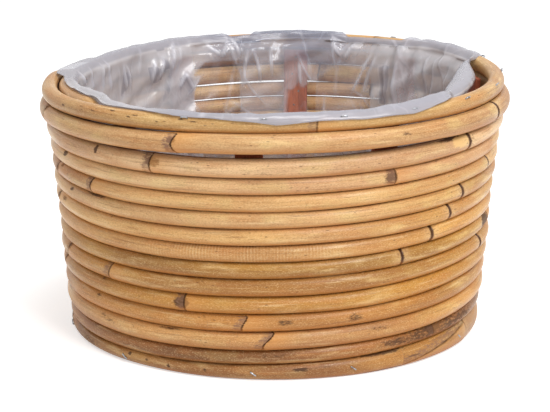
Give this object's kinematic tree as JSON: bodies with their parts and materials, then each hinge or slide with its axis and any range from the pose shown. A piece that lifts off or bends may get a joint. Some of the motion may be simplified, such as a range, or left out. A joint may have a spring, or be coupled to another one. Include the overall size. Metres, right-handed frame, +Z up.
{
  "type": "planter basket",
  "caption": "Round planter basket of stacked cane hoops on upright slats, with a slatted floor and a clear film liner stapled over the rim.",
  "frame": {"origin": "centre of the bounding box's bottom face, on the surface that the basket stands on", "axes": "+Z up along the basket's axis; -Y faces the front of the pictured view"},
  "size_m": [0.3972, 0.3975, 0.2216],
  "materials": {
    "rattan_cane": "smooth peeled cane bark with a light gloss",
    "stained_slat": "reddish-brown sawn slat",
    "floor_wood": "rough sawn board",
    "clear_film": "thin milky polyethylene film, creased",
    "steel_wire": "plain staple wire"
  },
  "bodies": {
    "root": {"rim_cane": "rattan_cane", "cane_02": "rattan_cane", "cane_03": "rattan_cane", "cane_04": "rattan_cane", "cane_05": "rattan_cane", "cane_06": "rattan_cane", "cane_07": "rattan_cane", "cane_08": "rattan_cane", "cane_09": "rattan_cane", "cane_10": "rattan_cane", "cane_11": "rattan_cane", "cane_12": "rattan_cane", "cane_13": "rattan_cane", "cane_14": "rattan_cane", "foot_cane": "rattan_cane", "floor_ring": "rattan_cane", "slat_01": "stained_slat", "slat_02": "stained_slat", "slat_03": "stained_slat", "slat_04": "stained_slat", "slat_05": "stained_slat", "slat_06": "stained_slat", "slat_07": "stained_slat", "slat_08": "stained_slat", "slat_09": "stained_slat", "slat_10": "stained_slat", "floor_board_1": "floor_wood", "floor_board_2": "floor_wood", "floor_board_3": "floor_wood", "floor_board_4": "floor_wood", "floor_board_5": "floor_wood", "floor_board_6": "floor_wood", "floor_board_7": "floor_wood", "floor_batten_1": "floor_wood", "floor_batten_2": "floor_wood", "film_liner": "clear_film", "foot_staple_01": "steel_wire", "foot_staple_02": "steel_wire", "foot_staple_03": "steel_wire", "foot_staple_04": "steel_wire", "foot_staple_05": "steel_wire", "foot_staple_06": "steel_wire", "foot_staple_07": "steel_wire", "foot_staple_08": "steel_wire", "foot_staple_09": "steel_wire", "foot_staple_10": "steel_wire", "film_staple_01": "steel_wire", "film_staple_02": "steel_wire", "film_staple_03": "steel_wire", "film_staple_04": "steel_wire", "film_staple_05": "steel_wire", "film_staple_06": "steel_wire", "film_staple_07": "steel_wire", "film_staple_08": "steel_wire", "film_staple_09": "steel_wire", "film_staple_10": "steel_wire", "film_staple_11": "steel_wire", "film_staple_12": "steel_wire"}
  },
  "joints": []
}
